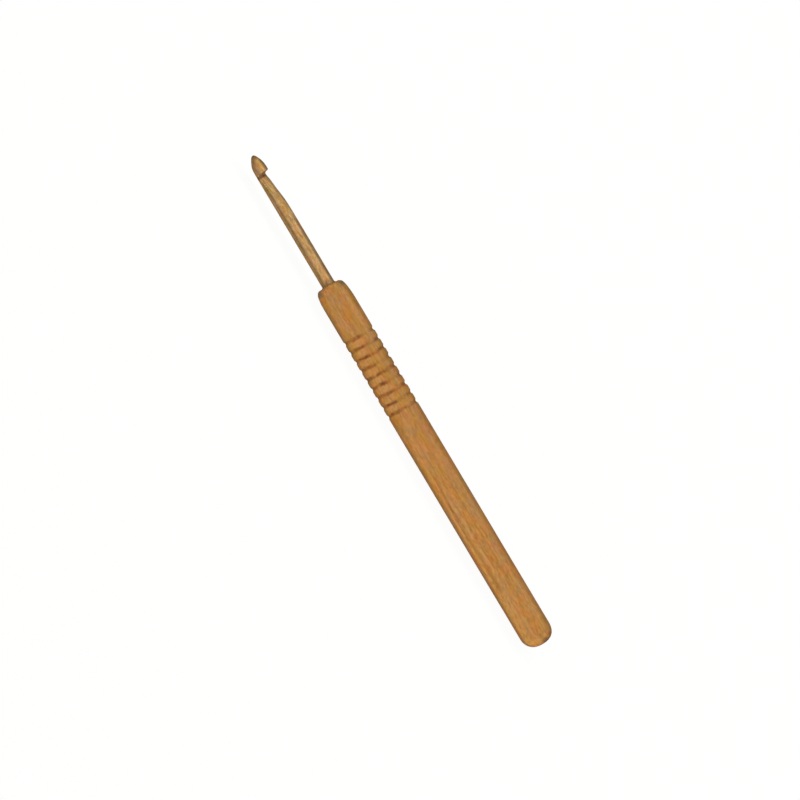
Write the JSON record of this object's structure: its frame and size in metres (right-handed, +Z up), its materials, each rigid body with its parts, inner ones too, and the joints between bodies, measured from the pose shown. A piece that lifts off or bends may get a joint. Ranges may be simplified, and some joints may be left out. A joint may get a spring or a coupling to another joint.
{
  "type": "crochet hook",
  "caption": "Slim bamboo crochet hook: pointed head with a square mouth, long sloping throat, thin shaft glued into a round handle with finger grooves and a domed end.",
  "frame": {"origin": "on the plane the tool rests on, under the middle of its length and under its axis", "axes": "+X along the tool from the hook's tip to the domed butt, +Z up and the way the hook's mouth opens"},
  "size_m": [0.152, 0.009, 0.009],
  "materials": {
    "shaft_bamboo": "pale carbonised bamboo, sanded fine and given a thin satin lacquer",
    "cured_glue": "cured wood glue, translucent amber, slightly glossy",
    "handle_bamboo": "carbonised bamboo with fine lengthwise fibres, satin lacquer"
  },
  "bodies": {
    "root": {"hook_shaft": "shaft_bamboo", "glue_line": "cured_glue", "handle": "handle_bamboo"}
  },
  "joints": []
}
